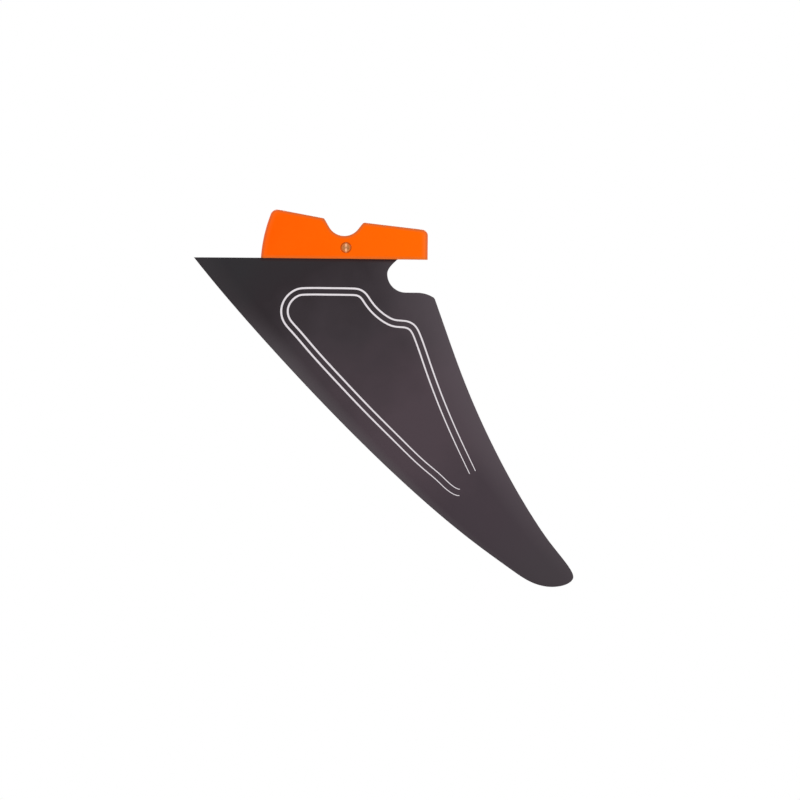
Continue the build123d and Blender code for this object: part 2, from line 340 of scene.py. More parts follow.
# %% The place on the leading edge for each place on the rear edge
FAN = 14.0  # how far a row at the corner starts below its end
FANS = [(0, 0), (0, 1.6), (1.6, 8), (8, 12.5), (12.5, FAN)]  # along the mouth's parts
FAN_END = 200.0  # depth below which rows are level
TIP_FAN, TIP_FAN_START = 3.5, 262.0  # rows fan out once more from this depth to the tip


def paired_depth():
    """Depth on the leading edge for each place of the rear edge above the tip's quarter
    ellipse: its own depth plus a fan that swells along the mouth and dies out lower down by
    the square of the way left. Near the tip a small fan swells by the square of the way done."""
    depth = -np.vstack(mouth_parts)[:, 1]
    fan = np.concatenate([
        np.linspace(start, end, len(part) + 1)[1:]
        for part, (start, end) in zip(mouth_parts, FANS)
    ])
    fan_left = np.clip(1 - (lower_depth - touch_depth) / (FAN_END - touch_depth), 0, 1)
    tip_way = np.clip((lower_depth - TIP_FAN_START) / (-TIP_REAR[1] - TIP_FAN_START), 0, 1)
    below = lower_depth + FAN * fan_left**2 + TIP_FAN * tip_way**2
    return np.concatenate([depth + fan, below[1:]])


front_depth = paired_depth()
front_rows = np.stack([leading_x(front_depth), -front_depth], 1)
tip_x = TIP_LOW[0] - (TIP_LOW[0] - front_rows[-1, 0]) * np.cos(tip_angle[1:])
tip_z = np.interp(tip_x, leading[:, 0], leading[:, 1])
front_line = np.vstack([front_rows, np.stack([tip_x, tip_z], 1)])
print("pairs of places:", len(front_line))

# %% [markdown]
# The rear edge is rounded off on each side by a quarter circle, which leaves the middle of the
# edge flat where it is thick and makes it quite round where it is thin. A Bevel modifier would
# want the same width everywhere, so the rounding is laid inwards from the edge, square to the
# way it runs. The head's rounding and the stripes will use the same helpers.

# %% Square to a line, and round a quarter circle


def run_of(line):
    """Which way the line runs at each place: its gradient, divided by its own length."""
    run = np.gradient(line, axis=0)
    return run / np.linalg.norm(run, axis=1)[:, None]


def square_to(run):
    """The way to the right of a run, as seen from port: (z, -x) for a run of (x, z)."""
    return np.stack([run[:, 1], -run[:, 0]], 1)


def quarter_round(inner, outer, radius, out, angle):
    """Places round a quarter circle, from the flat skin at the inner line to the outer line. In
    side view they lie sin(angle) of the way out to it, and the skin falls by the radius times
    1 - cos(angle)."""
    view = inner[:, None] + np.sin(angle)[:, None] * (outer - inner)[:, None]
    return view, out - radius[:, None] * (1 - np.cos(angle))


# %% [markdown]
# Across the blade the places bunch up at the nose, by the same Bezier formula that shapes the
# skin, because the nose bends most.

# %% Rows from the nose to the rounded rear edge
RIM_LIMIT = 0.7  # mm, the widest rounding of the rear edge
RIM_SHARE = 0.8  # and its limit as a share of half the thickness
ACROSS = 64      # places from the nose to the rounding
NOSE_BUNCHING = 0.9

rim_radius = np.minimum(
    RIM_LIMIT, RIM_SHARE * half_thickness(rear_line[:, 0], -rear_line[:, 1])
)
inner_line = rear_line + square_to(run_of(rear_line)) * rim_radius[:, None]

across_share = skin_curve(np.linspace(0, 1, ACROSS) ** NOSE_BUNCHING)[:, 0]
side_view = front_line[:, None] + across_share[:, None] * (inner_line - front_line)[:, None]
skin_y = half_thickness(side_view[..., 0], -side_view[..., 1])
rim_angle = np.radians([18, 36, 54, 72, 90])  # round the quarter circle, in five steps
rim_view, rim_y = quarter_round(inner_line, rear_line, rim_radius, skin_y[:, -1:], rim_angle)
view_points = np.concatenate([side_view, rim_view], 1)
out_points = np.concatenate([skin_y, rim_y], 1)
print("blade rows and places in a row:", out_points.shape)

# %% [markdown]
# The root's top edge is eased by a third of a millimetre, so the first row is laid twice: once
# just below the hull, and once on the hull and a little thinner. Port and starboard are the
# same numbers with the sign of y turned.

# %% The closed blade
EASE = 0.3


def eased_root(view, out):
    """Adds a thinner first row at the hull and lowers the old one by the easing. Where the nose
    is thinner than that, the new row keeps a third of its thickness."""
    top_view, top_out = view[:1].copy(), np.maximum(out[:1] - EASE, out[:1] / 3)
    view = view.copy()
    view[0, :, 1] -= EASE
    return np.concatenate([top_view, view]), np.concatenate([top_out, out])


def both_sides(view, out):
    """Closed rings from half rings that start on the middle plane: port outwards and aft, then
    starboard back again."""
    port = np.stack([view[..., 0], -out, view[..., 1]], -1)
    starboard = np.stack([view[..., 0], out, view[..., 1]], -1)[:, :0:-1]
    return np.concatenate([port, starboard], 1)


def end_caps(rings, half, joined=1):
    """Faces across the first and the last ring, each from port to starboard. One face takes all
    the places of the half ring up to the joined one, and four-sided faces take the rest."""
    i = np.arange(joined, half - 1)
    crosswise = np.stack([i + 1, i, 2 * half - 1 - i, 2 * half - 2 - i], 1)
    start = np.concatenate([
        np.arange(joined, -1, -1), np.arange(2 * half - 2, 2 * half - 2 - joined, -1)
    ])
    last = (rings - 1) * (2 * half - 1)
    return [*crosswise, start, *(crosswise[:, ::-1] + last), start[::-1] + last]


blade_view, blade_out = eased_root(view_points, out_points)
blade_rings = both_sides(blade_view, blade_out)
blade_faces = [
    *ring_faces(*blade_rings.shape[:2]), *end_caps(len(blade_rings), blade_out.shape[1])
]
foil_blade = make_piece("foil_blade", blade_rings.reshape(-1, 3), blade_faces)
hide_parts("blade")
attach(foil_blade, "root")

# %% [markdown]
# The blade's finish will change from nose to tail and on the rounded rear edge. Neither is easy
# to tell from a place in space on a blade that leans and tapers, so both are stored on the mesh
# as shares from 0 to 1.

# %% Shares for the blade's finish
blade_places = blade_rings.reshape(-1, 3)
nose_x, tail_x = leading_x(-blade_places[:, 2]), trailing_x(-blade_places[:, 2])
keep_values(foil_blade, "aft", (blade_places[:, 0] - nose_x) / (tail_x - nose_x))
rim_half = np.concatenate([np.zeros(ACROSS), np.sin(rim_angle)])
rim_ring = np.concatenate([rim_half, rim_half[:0:-1]])
keep_values(foil_blade, "rim", np.tile(rim_ring, len(blade_rings)))
print("stored on the blade for", len(blade_places), "places: aft and rim")

# %% [markdown]
# ## The head
#
# The orange head is cast round the blade's root. From the side it is a long block with a leaning
# front end, two rounded corners and a round notch for the boss of the fin box. It could be a
# block with bevels, but its upright ends are rounded much more than its top. So it is made as
# one edge profile carried along the outline, whose rounding changes on the way.

# %% Its measures, and helpers for its corners
HEAD_FRONT, HEAD_REAR, HEAD_THICKNESS = -83.5, 80.2, 10.8
FRONT_TOP = np.array([-72.0, 48.55])
REAR_TOP = np.array([HEAD_REAR, 28.8])
FRONT_BOW = 2.2  # mm that the front end swells out ahead of a straight line
NOTCH_MIDDLE, NOTCH_RADIUS = np.array([-1.9, 39.6]), 17.2
FRONT_TOP_END, REAR_TOP_START = 35.9, 37.8  # heights of the two top lines over the notch
FRONT_FLANK, REAR_FLANK = 30.0, 38.0        # degrees that the notch's two flanks lean


def crossing(a, b, c, d):
    """Where the line through a and b meets the line through c and d: a plus the share of b - a
    that solves share (b - a) + other (c - d) = c - a."""
    ways = np.stack([b - a, c - d], 1)
    return a + (b - a) * np.linalg.solve(ways, c - a)[0]


def notch_foot(way, lean):
    """Where a leaning flank leaves the notch's round floor, and a point further up it."""
    lean = radians(lean)
    foot = NOTCH_MIDDLE + NOTCH_RADIUS * np.array([way * cos(lean), -sin(lean)])
    return foot, foot + np.array([way * sin(lean), cos(lean)])


def rounded_corner(before, corner, after, radius, count=12):
    """An arc of this radius that touches both lines which meet at the corner: it starts
    radius times tan(half the turn) away from the corner."""
    way_in = (corner - before) / np.linalg.norm(corner - before)
    way_out = (after - corner) / np.linalg.norm(after - corner)
    turn = np.arccos(np.clip(way_in @ way_out, -1, 1))
    start = corner - way_in * radius * np.tan(turn / 2)
    side = way_out - way_in * (way_in @ way_out)
    side /= np.linalg.norm(side)
    angle = np.linspace(0, turn, count)[:, None]
    return start + radius * (way_in * np.sin(angle) + side * (1 - np.cos(angle)))


print("head", round(HEAD_REAR - HEAD_FRONT, 1), "mm long and", HEAD_THICKNESS, "mm thick")

# %% [markdown]
# The outline is a run of parts from the front foot over the top to the rear foot. Where two
# straight lines meet, a rounded corner takes the place of their crossing.

# %% The head's outline
FRONT_CORNER_RADIUS, REAR_CORNER_RADIUS, BRINK_RADIUS = 7.0, 6.0, 3.0
CLEAR_OF_CORNER = 1.05  # times the arc's reach: nearer places of the front end are left out

foot_front = np.array([HEAD_FRONT, 0.0])
foot_rear = np.array([HEAD_REAR, 0.0])
lean_run = FRONT_TOP - foot_front
ahead = np.array([-lean_run[1], lean_run[0]]) / np.linalg.norm(lean_run)
share_up = np.linspace(0, 1, 27)[:, None]
bowed = foot_front + lean_run * share_up + ahead * FRONT_BOW * 4 * share_up * (1 - share_up)

front_top_end = np.array([NOTCH_MIDDLE[0], FRONT_TOP_END])
rear_top_start = np.array([NOTCH_MIDDLE[0], REAR_TOP_START])
front_foot, front_up = notch_foot(-1, FRONT_FLANK)
rear_foot, rear_up = notch_foot(1, REAR_FLANK)
front_brink = crossing(FRONT_TOP, front_top_end, front_foot, front_up)
rear_brink = crossing(rear_top_start, REAR_TOP, rear_foot, rear_up)

front_corner = rounded_corner(bowed[-2], FRONT_TOP, front_brink, FRONT_CORNER_RADIUS, 16)
corner_reach = CLEAR_OF_CORNER * np.linalg.norm(front_corner[0] - FRONT_TOP)
outline_parts = {
    "front end": bowed[np.linalg.norm(bowed - FRONT_TOP, axis=1) > corner_reach],
    "front corner": front_corner,
    "front brink": rounded_corner(FRONT_TOP, front_brink, front_foot, BRINK_RADIUS),
    "notch floor": arc(NOTCH_MIDDLE, NOTCH_RADIUS, 180 + FRONT_FLANK, 360 - REAR_FLANK, 30),
    "rear brink": rounded_corner(rear_foot, rear_brink, REAR_TOP, BRINK_RADIUS),
    "rear corner": rounded_corner(rear_brink, REAR_TOP, foot_rear, REAR_CORNER_RADIUS, 14),
    "rear foot": foot_rear[None],
}
corner_line = np.vstack(list(outline_parts.values()))
print("head outline:", len(corner_line), "places, notch brinks at",
      np.round(front_brink, 1), np.round(rear_brink, 1))

# %% [markdown]
# Long straight stretches get places of their own, at most 2 mm apart, so that the rounding can
# change along them.

# %% Evenly spaced places
LONGEST_STEP = 2.0


def length_along(line):
    """The length of the line up to each of its places."""
    return np.concatenate([[0], np.cumsum(np.linalg.norm(np.diff(line, axis=0), axis=1))])


def places_at(line, lengths):
    """The places at these lengths along the line, each on the straight step that it falls in."""
    along = length_along(line)
    return np.stack([np.interp(lengths, along, line[:, i]) for i in (0, 1)], 1)


def divided(line, longest):
    """The same line with each long step cut into equal shorter ones, and the lengths along it."""
    along = length_along(line)
    gaps = np.diff(along)
    counts = np.maximum(np.ceil(gaps / longest).astype(int), 1)
    first = np.repeat(np.cumsum(counts) - counts, counts)
    within = (np.arange(counts.sum()) - first) / np.repeat(counts, counts)
    at = np.append(np.repeat(along[:-1], counts) + within * np.repeat(gaps, counts), along[-1])
    return places_at(line, at), at


outline, outline_at = divided(corner_line, LONGEST_STEP)
print("the outline is", round(float(outline_at[-1])), "mm long, in", len(outline), "places")

# %% [markdown]
# Each place gets its rounding: 4.6 mm on the two ends, 0.7 mm along the top, and a smooth change
# round the corners. It is laid inwards, square to the way the outline runs.

# %% The rounding at each place
END_ROUNDING, TOP_ROUNDING = 4.6, 0.7
BLEND = 6.0  # mm of the top, past each corner, over which the rounding still changes
FRONT_FOOT_WAY, REAR_FOOT_WAY = (0.06, 0.998), (0, -1)  # how the outline runs at its two feet


def reach_of(part_name):
    """Length of the outline up to the start and up to the end of one of its parts."""
    names = list(outline_parts)
    ends = np.cumsum([len(part) for part in outline_parts.values()])
    end = ends[names.index(part_name)]
    along = length_along(corner_line)
    return along[end - len(outline_parts[part_name])], along[end - 1]


def eased(x):
    """A slow start and a slow stop: 3 x^2 - 2 x^3."""
    x = np.clip(x, 0, 1)
    return x * x * (3 - 2 * x)


front_start, front_end = reach_of("front corner")
rear_start, rear_end = reach_of("rear corner")
top_share = eased((outline_at - front_start) / (front_end + BLEND - front_start))
top_share *= 1 - eased((outline_at - rear_start + BLEND) / (rear_end - rear_start + BLEND))
rounding = END_ROUNDING + (TOP_ROUNDING - END_ROUNDING) * top_share

outline_run = run_of(outline)
outline_run[0], outline_run[-1] = FRONT_FOOT_WAY, REAR_FOOT_WAY
print("rounding from", round(rounding.min(), 2), "to", round(rounding.max(), 2), "mm")

# %% [markdown]
# Each ring of the head starts on its underside in the middle plane, goes up the flat side to the
# rounding, round it, and back down the other side. The underside's places are spread by length
# as much as by x, so that the rows fan out at the upright rear end.

# %% The head as a ring carried along its outline
HALF = HEAD_THICKNESS / 2
FOOT_ROUNDING = 0.35
UP_SHARE = np.array([0.0, 0.02, 0.15, 0.35, 0.6, 0.85, 1.0])  # of the way up the flat side

inner_outline = outline + square_to(outline_run) * rounding[:, None]
inner_outline[:, 1] = np.maximum(inner_outline[:, 1], 0.0)
first_x, last_x = inner_outline[0, 0], inner_outline[-1, 0]
by_length = (last_x - first_x) * outline_at / outline_at[-1]
by_x = np.maximum.accumulate(inner_outline[:, 0].clip(first_x, last_x) - first_x)
base_x = first_x + (by_length + by_x) / 2
base = np.stack([base_x, np.zeros_like(base_x)], 1)

flat_view = base[:, None] + UP_SHARE[:, None] * (inner_outline - base)[:, None]
band_angle = np.radians(np.linspace(0, 90, 11)[1:])
band_view, band_out = quarter_round(inner_outline, outline, rounding, HALF, band_angle)
head_view = np.concatenate([base[:, None], flat_view, band_view], 1)
head_out = np.concatenate(
    [np.zeros((len(outline), 1)), np.full(flat_view.shape[:2], HALF), band_out], 1
)
head_out[:, 1] -= FOOT_ROUNDING
head_rings = both_sides(head_view, head_out)
on_underside = 1 + len(UP_SHARE)  # at the two feet all these places lie in one line
head_faces = [
    *ring_faces(*head_rings.shape[:2]),
    *end_caps(len(head_rings), head_out.shape[1], on_underside),
]
cast_head = make_piece("cast_head", head_rings.reshape(-1, 3), head_faces)

# %% [markdown]
# At the two feet the flat side has no height, so several of its places fall together. That looks
# right, but a Boolean needs a skin with no slits in it, so they are merged first.

# %% Merge the doubled places
head_skin = bmesh.new()
head_skin.from_mesh(cast_head.data)
with_doubles = len(head_skin.verts)
bmesh.ops.remove_doubles(head_skin, verts=head_skin.verts, dist=1e-7)
print("merged", with_doubles - len(head_skin.verts), "doubled places")
head_skin.to_mesh(cast_head.data)
head_skin.free()

# %% [markdown]
# ## Holes for the nut and the screw
#
# The cross nut lies in a bore right through the head, and the screw comes down into it from the
# notch. The rings could be bent round both holes, but on a closed mesh a Boolean cuts them
# cleanly, if its cutters are closed too. Each cutter is a turned shape: a small profile of
# radius against length, spun round its axis.

# %% Turned cutters
NUT_HEIGHT, NUT_RADIUS = 11.0, 5.0
SCREW_RADIUS, SCREW_FLOOR, SCREW_TOP = 3.3, 3.0, 40.0
FLARE = 0.25  # the bore widens by this much before the flat side, and as much beyond it


def turned(name, profile, axis, sides=72):
    """A closed turned piece: each row of the profile, (radius, length along the axis), goes round
    as radius times the cosine and the sine. The axis is y for the nut's bore or z for the screw's
    hole. The hole is turned on by half a side, so that its corners miss the bore's."""
    profile = np.array(profile, float)
    angle = np.linspace(0, 2 * pi, sides, endpoint=False) + (pi / sides if axis == "z" else 0)
    radius, length = profile[:, :1], np.repeat(profile[:, 1:], sides, 1)
    first, second = radius * np.cos(angle), radius * np.sin(angle)
    if axis == "y":
        points = np.stack([first, length, second + NUT_HEIGHT], -1)
    else:
        points = np.stack([first, second, length], -1)
    last = (len(profile) - 1) * sides
    faces = [*ring_faces(len(profile), sides), range(sides)[::-1], range(last, last + sides)]
    return make_piece(name, points.reshape(-1, 3), faces)


nut_bore = turned("nut_bore_cutter", [
    (NUT_RADIUS + 2 * FLARE, -HALF - FLARE), (NUT_RADIUS, -HALF + FLARE),
    (NUT_RADIUS, HALF - FLARE), (NUT_RADIUS + 2 * FLARE, HALF + FLARE),
], "y")
screw_bore = turned(
    "screw_bore_cutter", [(SCREW_RADIUS, SCREW_FLOOR), (SCREW_RADIUS, SCREW_TOP)], "z"
)

# %% [markdown]
# Each cutter goes into a Boolean modifier on the head. The result is kept as a new mesh, so that
# the modifiers and the cutters can go.

# %% The head with its two holes
for cutter in (nut_bore, screw_bore):
    cut = cast_head.modifiers.new("hole", "BOOLEAN")
    cut.operation, cut.solver, cut.object = "DIFFERENCE", "EXACT", cutter
finished = bpy.data.meshes.new_from_object(
    cast_head.evaluated_get(bpy.context.evaluated_depsgraph_get())
)
cast_head.modifiers.clear()
cast_head.data = finished
finished.set_sharp_from_angle(angle=SHARP_ANGLE)
for cutter in (nut_bore, screw_bore):
    bpy.data.objects.remove(cutter)
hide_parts("head")
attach(cast_head, "root")
print("head with its holes:", len(finished.polygons), "faces")

# %% [markdown]
# The head's colour will change towards its outline, and more so on its two ends. Both are stored
# now, because a hole's new corners would not have them otherwise.

# %% Distance from the outline


def from_line(points, line):
    """Each point's distance from a line of straight steps, and the index of the nearest step.
    The nearest place on a step is at the share (point - start) . step / step^2 of it."""
    start, step = line[:-1], np.diff(line, axis=0)
    offset = points[:, None] - start
    share = np.clip((offset * step).sum(2) / np.maximum((step**2).sum(1), 1e-9), 0, 1)
    away = np.linalg.norm(offset - share[..., None] * step, axis=2)
    return away.min(1), away.argmin(1)


head_places = np.empty(3 * len(finished.vertices), np.float32)
finished.vertices.foreach_get("co", head_places)
head_sides = head_places.reshape(-1, 3)[:, [0, 2]] / MM
edge_distance, nearest_step = from_line(head_sides, outline)
keep_values(cast_head, "from_edge", edge_distance * MM)
keep_values(cast_head, "end", (1 - top_share)[nearest_step])
print("furthest from the outline:", round(float(edge_distance.max()), 1), "mm")

# %% [markdown]
# ## The printed pinstripes
#
# Ink has almost no height. It could be a pattern in the blade's own material, but a stripe that
# is a thin ribbon keeps a crisp edge at any distance. The outer stripe follows a line of places
# in shares of the chord and the depth, and both stripes thin out towards their ends.

# %% The path of the outer stripe
STRIPE_PLACES = np.array([
    (0.4211, 0.7228), (0.3933, 0.7223), (0.3564, 0.7150), (0.3271, 0.6765), (0.2985, 0.6401),
    (0.2665, 0.5672), (0.2365, 0.4794), (0.2128, 0.3849), (0.1930, 0.2800), (0.1862, 0.2250),
    (0.1880, 0.1903), (0.2100, 0.1658), (0.2450, 0.1416), (0.2917, 0.1185), (0.3380, 0.1020),
    (0.3749, 0.0936), (0.4080, 0.0912), (0.5181, 0.0905), (0.6290, 0.0908), (0.6560, 0.0926),
    (0.6785, 0.1034), (0.6872, 0.1261), (0.7285, 0.1747), (0.7585, 0.1855), (0.8150, 0.1893),
    (0.8445, 0.1990), (0.8555, 0.2350), (0.8408, 0.3238), (0.7924, 0.5073), (0.7353, 0.6480),
])
WIDTHS = np.array([
    (0, 0.72), (0.05, 0.92), (0.08, 1.1), (0.14, 1.4), (0.2, 1.65), (0.3, 1.85), (0.45, 1.95),
    (0.62, 1.9), (0.76, 1.65), (0.83, 1.5), (0.88, 1.28), (0.93, 1.1), (1, 0.75),
])  # share of the length, and mm
ENDS_OFF = (1.2, 0.6)  # mm that the stripes stop short of the path's two ends
STATION_STEP = 1.0

stripe_depth = STRIPE_PLACES[:, 1] * DEPTH
chord = trailing_x(stripe_depth) - leading_x(stripe_depth)
stripe_x = leading_x(stripe_depth) + STRIPE_PLACES[:, 0] * chord
path = smooth_line(np.stack([stripe_x, -stripe_depth], 1), count=6000)
path_length = length_along(path)[-1]
stations = np.linspace(ENDS_OFF[0], path_length - ENDS_OFF[1], int(path_length / STATION_STEP))
stripe_line = places_at(path, stations)
beside = square_to(run_of(stripe_line))
stripe_width = np.interp(stations / stations[-1], *WIDTHS.T)
print("stripe", round(float(stations[-1] - stations[0])), "mm long,", len(stations), "stations")

# %% [markdown]
# The inner stripe runs beside the outer one at a fixed distance. Both lie on the skin by the
# same formula that made it, with their rims a hair under it, so that no gap shows.

# %% Two ribbons for each side
STRIPE_SPACING = 6.4
INK_HEIGHTS = np.array([-0.03, 0.05, 0.06, 0.05, -0.03])  # mm above the skin, across a stripe
INK_PLACES = np.array([-0.5, -0.46, 0, 0.46, 0.5])        # shares of the width, across a stripe


def ribbon(inset, side):
    """Rings of five points across a stripe: the path plus the inset and a share of the width
    sideways, and half the blade's thickness plus the ink's height outwards."""
    line = stripe_line + beside * inset
    view = line[:, None] + beside[:, None] * (stripe_width[:, None] * INK_PLACES)[..., None]
    out = half_thickness(view[..., 0], -view[..., 1]) + INK_HEIGHTS
    return np.stack([view[..., 0], side * out, view[..., 1]], -1)


def stripes(name, side):
    """The outer and the inner ribbon of one side as one piece."""
    points = np.vstack([ribbon(inset, side).reshape(-1, 3) for inset in (0, STRIPE_SPACING)])
    five, count = len(INK_PLACES), len(points) // 2
    tube = [*ring_faces(count // five, five), range(five)[::-1], range(count - five, count)]
    return make_piece(name, points, [*tube, *(np.add(face, count) for face in tube)])


stripe_pairs = {
    side_name: stripes(f"stripes_{side_name}", side)
    for side_name, side in (("port", -1), ("starboard", 1))
}
for side_name, pair in stripe_pairs.items():
    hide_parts(f"pinstripes_{side_name}")
    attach(pair, "root")

# %% [markdown]
# ## Finishes
#
# Four finishes cover the fin. Painted pictures could do it too, but they would have to be fitted
# to each surface. Here each finish is built from a few procedural textures that read the
# object's own coordinates, so that nothing slides when the view changes. Lengths are in metres,
# as those coordinates are, and a share of 0 leaves a colour as it was. Numbers that are the same
# all over a surface are set straight on the shader.

# %% Helpers for node materials
NOISE_ROUGHNESS = 0.55


def linear(red, green, blue):
    """A colour given in 0 to 255 as a screen shows it, in the linear numbers a shader wants:
    the value plus 0.055, over 1.055, to the power 2.4, or over 12.92 where it is very dark."""
    value = np.array([red, green, blue]) / 255
    low, high = value / 12.92, ((value + 0.055) / 1.055) ** 2.4
    return (*map(float, np.where(value < 0.04045, low, high)), 1.0)


class Finish:
    """A material with its shader and a few ways to add textures to it."""

    def __init__(self, name, **constants):
        self.material = bpy.data.materials.new(name)
        self.material.use_nodes = True
        self.nodes = self.material.node_tree.nodes
        self.links = self.material.node_tree.links
        self.shader = self.nodes["Principled BSDF"]
        for socket, value in constants.items():
            self.shader.inputs[socket.replace("_", " ")].default_value = value
        self.place = self.nodes.new("ShaderNodeTexCoord").outputs["Object"]

    def node(self, kind, inputs=(), **settings):
        """A node of this kind. Inputs are pairs of socket and value or link."""
        node = self.nodes.new(kind)
        for setting, value in settings.items():
            setattr(node, setting, value)
        for socket, value in inputs:
            if isinstance(value, bpy.types.NodeSocket):
                self.links.new(value, node.inputs[socket])
            else:
                node.inputs[socket].default_value = value
        return node

    def axis(self, letter):
        """The object's own coordinate X, Y or Z, in metres."""
        return self.node("ShaderNodeSeparateXYZ", [("Vector", self.place)]).outputs[letter]

    def from_nut_axis(self):
        """The place as seen from the cross nut's axis: lowered by its height, and y left out."""
        return self.node("ShaderNodeMapping", [
            ("Vector", self.place), ("Location", (0, 0, -NUT_HEIGHT * MM)), ("Scale", (1, 0, 1)),
        ]).outputs["Vector"]

    def length(self, vector):
        """The length of a vector."""
        node = self.node("ShaderNodeVectorMath", [(0, vector)], operation="LENGTH")
        return node.outputs["Value"]

    def noise(self, scale, detail=3.0):
        """Noise with this many features to the metre."""
        return self.node("ShaderNodeTexNoise", [
            ("Vector", self.place), ("Scale", scale), ("Detail", detail),
            ("Roughness", NOISE_ROUGHNESS),
        ]).outputs["Fac"]

    def strokes(self, size, turn, detail=2.0):
        """Noise whose features have this size in metres along x, y and z, all turned about y.
        A Mapping node of the Texture kind turns back first and divides by the size after, so
        that long features keep their length along the turned direction."""
        place = self.node("ShaderNodeMapping", [
            ("Vector", self.place), ("Rotation", (0, turn, 0)), ("Scale", size),
        ], vector_type="TEXTURE").outputs["Vector"]
        return self.node("ShaderNodeTexNoise", [
            ("Vector", place), ("Scale", 1.0), ("Detail", detail), ("Roughness", NOISE_ROUGHNESS),
        ]).outputs["Fac"]

    def ranged(self, value, low, high, to_low, to_high):
        """The value, from low..high to to_low..to_high, and no further."""
        return self.node("ShaderNodeMapRange", [
            ("Value", value), ("From Min", low), ("From Max", high),
            ("To Min", to_low), ("To Max", to_high),
        ]).outputs["Result"]

    def maths(self, operation, a, b=0.0):
        """One operation on two values, or on the first alone."""
        return self.node("ShaderNodeMath", [(0, a), (1, b)], operation=operation).outputs[0]

    def product(self, *values):
        """All the values multiplied."""
        total = values[0]
        for value in values[1:]:
            total = self.maths("MULTIPLY", total, value)
        return total

    def ramp(self, value, stops):
        """A colour from stops of position and colour, the colours given in 0 to 255."""
        ramp = self.node("ShaderNodeValToRGB", [("Fac", value)])
        elements = ramp.color_ramp.elements
        elements[0].position, elements[1].position = stops[0][0], stops[-1][0]
        elements[0].color, elements[1].color = linear(*stops[0][1]), linear(*stops[-1][1])
        for position, colour in stops[1:-1]:
            elements.new(position).color = linear(*colour)
        return ramp.outputs["Color"]

    def between(self, share, a, b):
        """A colour between a and b."""
        return self.node("ShaderNodeMix", [
            ("Factor", share), (6, a), (7, b),
        ], data_type="RGBA").outputs[2]

    def stored(self, name):
        """A number stored on the piece's vertices."""
        return self.node("ShaderNodeAttribute", attribute_name=name).outputs["Fac"]

    def bump(self, height, strength, distance):
        """Small relief from a height, with its distance in metres."""
        node = self.node("ShaderNodeBump", [
            ("Height", height), ("Strength", strength), ("Distance", distance),
        ])
        self.feed("Normal", node.outputs["Normal"])

    def feed(self, socket, value):
        """Links a value or colour to one of the shader's sockets."""
        self.links.new(value, self.shader.inputs[socket])

    def put_on(self, piece):
        """Gives the piece this finish and no other."""
        piece.data.materials.clear()
        piece.data.materials.append(self.material)
        print(f"{self.material.name}: {len(self.nodes)} nodes, on {piece.name}")


# %% [markdown]
# ### Black laminate
#
# The blade is a glass and epoxy laminate, coloured black and sanded satin. The sanding leaves
# very fine scratches along the blade, and the resin clouds a little. Along a slanted line the
# black is painted deepest at the root, as painted shade, and lighter and warmer towards the middle
# of the blade, as painted sheen. A flat colour would look like a cut-out, so one ramp along that
# slant carries the colour.

# %% The blade's colour, with painted shade and sheen
RAKE = radians(37)  # how far the blade's middle line leans aft
SLANT = (0.5, 0, -1)  # down, and half as much aft
SLANT_START, SLANT_END = -0.06, 0.41    # how far along that slant the colour starts and ends
SCRATCH_SIZE = (0.0004, 0.0004, 0.009)  # across, through and along the blade

laminate = Finish("black_laminate", Specular_IOR_Level=0.2, Specular_Tint=(1, 0.87, 0.94, 1))
clouds = laminate.noise(16, 4)
scratches = laminate.strokes(SCRATCH_SIZE, -RAKE)
grain = laminate.noise(2400, 2)
slant = laminate.node(
    "ShaderNodeVectorMath", [(0, laminate.place), (1, SLANT)], operation="DOT_PRODUCT"
).outputs["Value"]
slant_share = laminate.maths(
    "ADD",
    laminate.ranged(slant, SLANT_START, SLANT_END, 0.0, 1.0),
    laminate.ranged(clouds, 0.3, 0.7, -0.06, 0.06),
)
# Painted shade and sheen: darkest at the root, lightest towards the middle of the blade.
black = laminate.ramp(slant_share, [
    (0.0, (32, 32, 34)), (0.13, (32, 27, 30)), (0.28, (49, 43, 47)), (0.39, (58, 49, 54)),
    (0.5, (67, 56, 62)), (0.61, (67, 56, 62)), (0.77, (57, 48, 54)), (1.0, (56, 50, 54)),
])

# %% [markdown]
# The nose, the thin tail and the rounded rear edge, round the mouth too, are painted paler, as
# painted highlights where the skin turns towards the lamps. Under the head a thin dark line of
# painted shadow follows the seam, with a trace of the orange in it. Each is one more colour, laid
# over the last by a share.

# %% Painted highlights on the edges, painted shadow at the seam, and the satin roughness
height = laminate.axis("Z")
aft = laminate.stored("aft")
# Painted highlights: the thin tail, the nose and the rounded rear edge are painted paler.
above_tip = laminate.ranged(height, -0.31, -0.2, 0.2, 1.0)
tail = laminate.product(above_tip, laminate.ranged(aft, 0.74, 1.0, 0.0, 0.62))
with_tail = laminate.between(tail, black, linear(82, 74, 79))
below_root = laminate.ranged(height, -0.1, -0.04, 1.0, 0.2)
nose = laminate.product(above_tip, below_root, laminate.ranged(aft, 0.0, 0.12, 0.75, 0.0))
with_nose = laminate.between(nose, with_tail, linear(80, 75, 78))
painted_blade_rim_highlight = laminate.ranged(laminate.stored("rim"), 0.0, 1.0, 0.0, 0.4)
with_blade_rim_highlight = laminate.between(painted_blade_rim_highlight, with_nose, linear(104, 97, 101))

head_front = HEAD_FRONT * MM
under_head = laminate.ranged(laminate.axis("X"), head_front - MM, head_front + MM, 0.0, 1.0)
